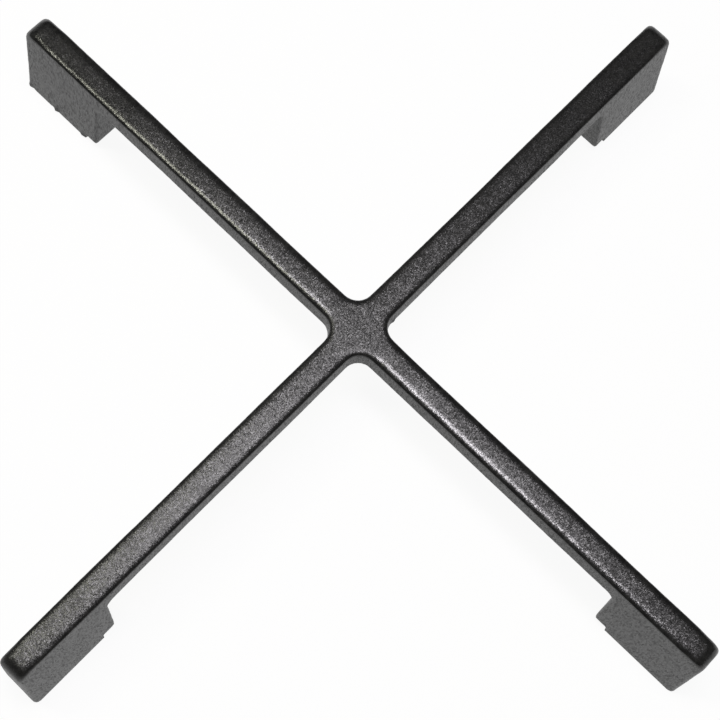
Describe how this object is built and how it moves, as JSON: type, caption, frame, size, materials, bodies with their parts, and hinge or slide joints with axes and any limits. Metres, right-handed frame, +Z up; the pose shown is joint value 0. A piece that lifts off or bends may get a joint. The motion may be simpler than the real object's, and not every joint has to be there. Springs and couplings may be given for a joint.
{
  "type": "hob pan support",
  "caption": "Cross-shaped cast-iron pan support for one gas burner, with rounded arms and a drafted foot with a stepped sole under each arm's end.",
  "frame": {"origin": "middle of the cross, on the plane that the soles of the feet stand on", "axes": "+Z up towards the pan, X and Y along the arms"},
  "size_m": [0.3062, 0.3062, 0.04],
  "materials": {
    "enamelled_iron": "fine-grained cast surface under thin matt black enamel"
  },
  "bodies": {
    "root": {"pan_support": "enamelled_iron"}
  },
  "joints": []
}
